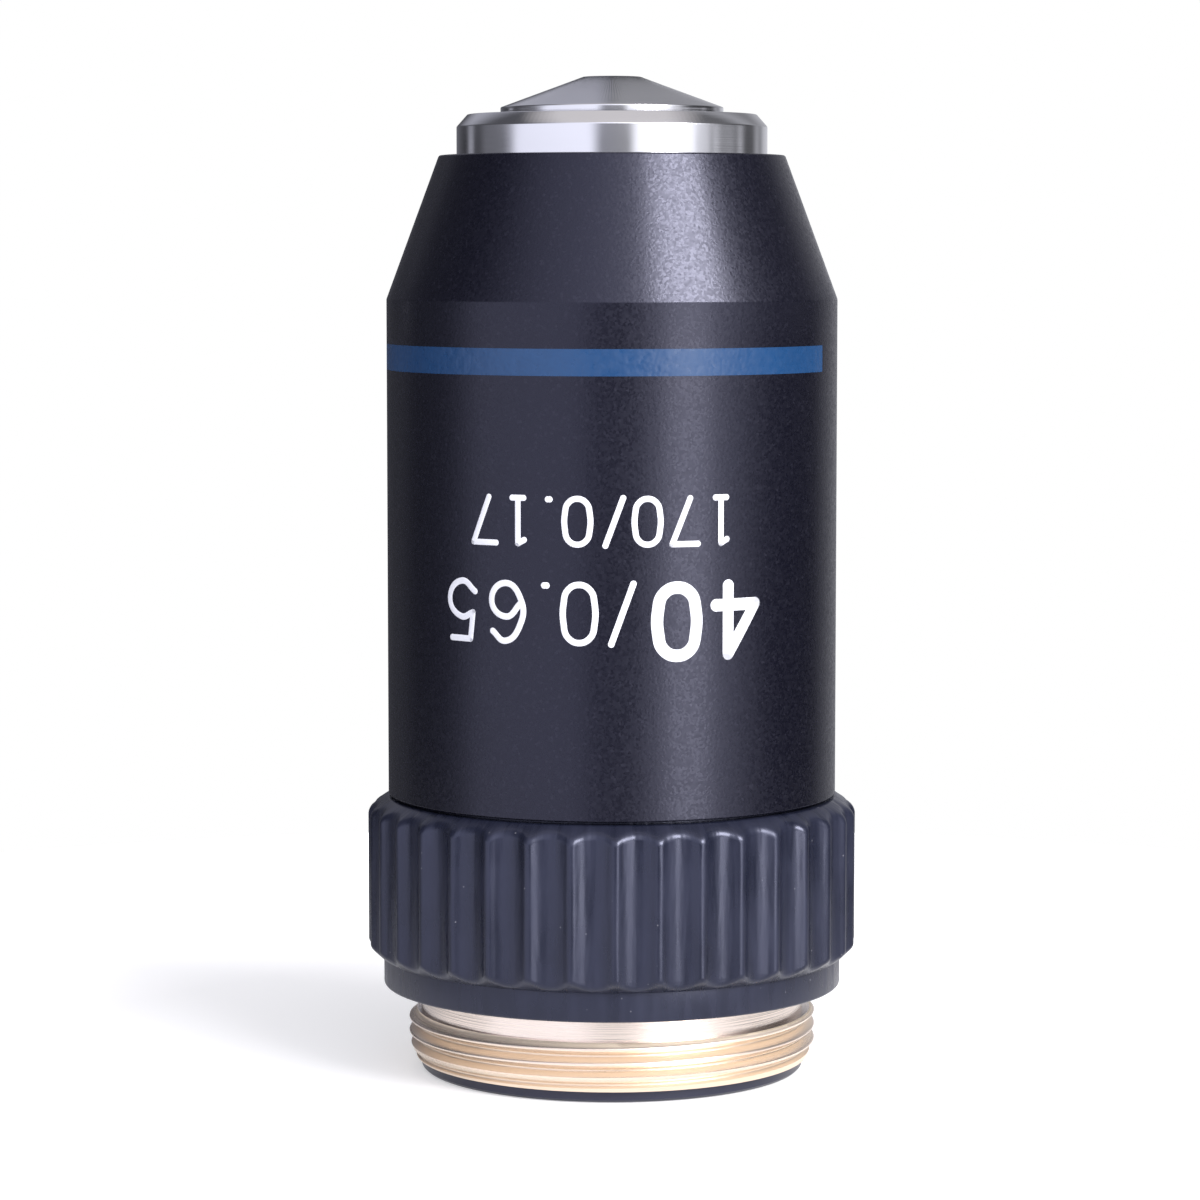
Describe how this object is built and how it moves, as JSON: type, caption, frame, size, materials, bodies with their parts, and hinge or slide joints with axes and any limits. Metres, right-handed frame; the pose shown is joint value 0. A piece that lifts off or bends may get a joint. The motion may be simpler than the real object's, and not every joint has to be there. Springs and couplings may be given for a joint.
{
  "type": "microscope objective",
  "caption": "Black microscope objective with a knurled collar, a colour band, a brass mounting thread and a spring-loaded steel nose around a small front lens.",
  "frame": {"origin": "on the optical axis in the plane of the rear face, which it stands on", "axes": "+Z along the optical axis to the front lens; the numbers on the barrel face -Y"},
  "size_m": [0.0242, 0.0242, 0.049],
  "materials": {
    "barrel_paint": "satin black with a fine bead-blasted grain",
    "band_enamel": "mid-blue enamel",
    "collar_black": "glossy black anodised",
    "thread_brass": "bright turned",
    "ring_black": "satin black anodised",
    "pin_steel": "ground",
    "seat_brass": "plain turned",
    "spring_steel": "drawn spring wire",
    "nose_steel": "bright turned and plated",
    "lens_glass": "polished and coated",
    "cell_black": "blackened matt"
  },
  "bodies": {
    "barrel": {"outer_barrel": "barrel_paint", "colour_band": "band_enamel", "knurled_collar": "collar_black", "thread_mount": "thread_brass", "rear_stop_ring": "ring_black", "guide_pin": "pin_steel", "spring_seat": "seat_brass", "return_spring": "spring_steel"},
    "nose": {"lens_tube": "nose_steel", "front_cell": "nose_steel", "front_lens": "lens_glass", "meniscus_cell": "cell_black", "meniscus_lens": "lens_glass", "front_spacer": "cell_black", "front_doublet_cell": "cell_black", "front_doublet_crown": "lens_glass", "front_doublet_flint": "lens_glass", "rear_spacer": "cell_black", "rear_doublet_cell": "cell_black", "rear_doublet_crown": "lens_glass", "rear_doublet_flint": "lens_glass", "pupil_stop": "cell_black", "lens_lock_ring": "cell_black"}
  },
  "joints": [
    {"name": "nose_slide", "type": "slide", "parent": "barrel", "child": "nose", "axis": [0, 0, -1], "range_m": [0, 0.0018], "stiffness_N_per_m": 500, "springref_m": -0.002, "deforming": ["return_spring"]}
  ]
}
